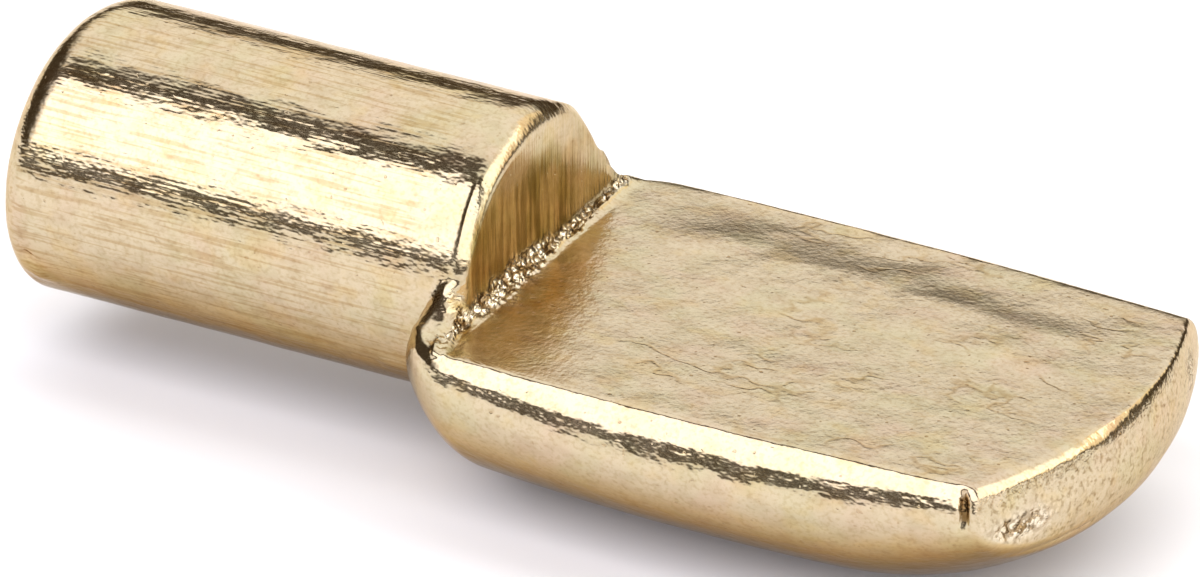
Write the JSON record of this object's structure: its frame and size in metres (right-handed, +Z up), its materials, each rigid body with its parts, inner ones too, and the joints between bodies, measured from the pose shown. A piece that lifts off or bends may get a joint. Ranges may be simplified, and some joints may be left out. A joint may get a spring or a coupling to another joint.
{
  "type": "shelf support pin",
  "caption": "Plated steel shelf pin: a round shank plugs into a bored hole in a cabinet side, and a flat spoon-shaped paddle carries the shelf.",
  "frame": {"origin": "on the shank's axis, in the plane where the shoulders stop against the cabinet side", "axes": "+X along the pin from the shank's free end to the paddle's tip, +Z up out of the shelf seat, +Y across the paddle"},
  "size_m": [0.0254, 0.0106, 0.0073],
  "materials": {
    "brass_plate": "pale brass plating on cold-headed steel, bright but lightly rippled"
  },
  "bodies": {
    "root": {"shelf_pin": "brass_plate"}
  },
  "joints": []
}
